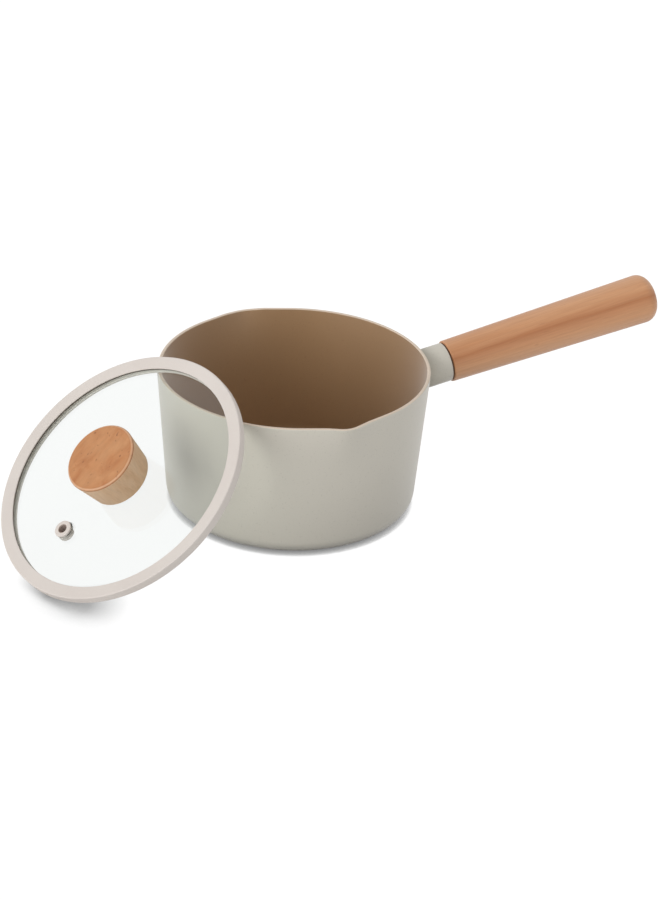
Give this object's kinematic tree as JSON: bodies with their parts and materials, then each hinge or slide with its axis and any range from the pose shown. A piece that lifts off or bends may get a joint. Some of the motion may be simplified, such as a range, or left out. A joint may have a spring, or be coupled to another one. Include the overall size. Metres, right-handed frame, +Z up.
{
  "type": "saucepan with glass lid",
  "caption": "Straight-sided saucepan with pouring lips on both sides, a turned wooden stick handle, and a glass lid with a soft rim, a vent and a wooden knob leaning against it.",
  "frame": {"origin": "centre of the pan's underside, on the table", "axes": "+Z up, +X from the pan towards the end of the handle, the pouring lips on +Y and -Y; the lid leans on the rim on the -X side"},
  "size_m": [0.487, 0.2278, 0.1271],
  "materials": {
    "pan_coat": "satin pale grey coat",
    "base_steel": "spun",
    "dark_rubber": "matte",
    "handle_wood": "oiled",
    "knob_wood": "oiled",
    "brass": "turned",
    "steel": "plain",
    "glass": "clear",
    "silicone": "matte"
  },
  "bodies": {
    "pan": {"pan_body": "pan_coat", "induction_base": "base_steel", "handle_ferrule": "pan_coat", "handle_gasket": "dark_rubber", "handle_grip": "handle_wood", "handle_insert": "brass", "handle_stud": "steel"},
    "lid": {"lid_glass": "glass", "lid_rim": "silicone", "vent_grommet": "silicone", "lid_knob": "knob_wood", "knob_insert": "brass", "knob_gasket": "silicone", "knob_screw": "steel", "screw_gasket": "silicone", "screw_washer": "steel"}
  },
  "joints": [
    {"name": "lid_lift", "type": "slide", "parent": "pan", "child": "lid", "axis": [0, 0, 1], "range_m": [0, 0.15]}
  ]
}
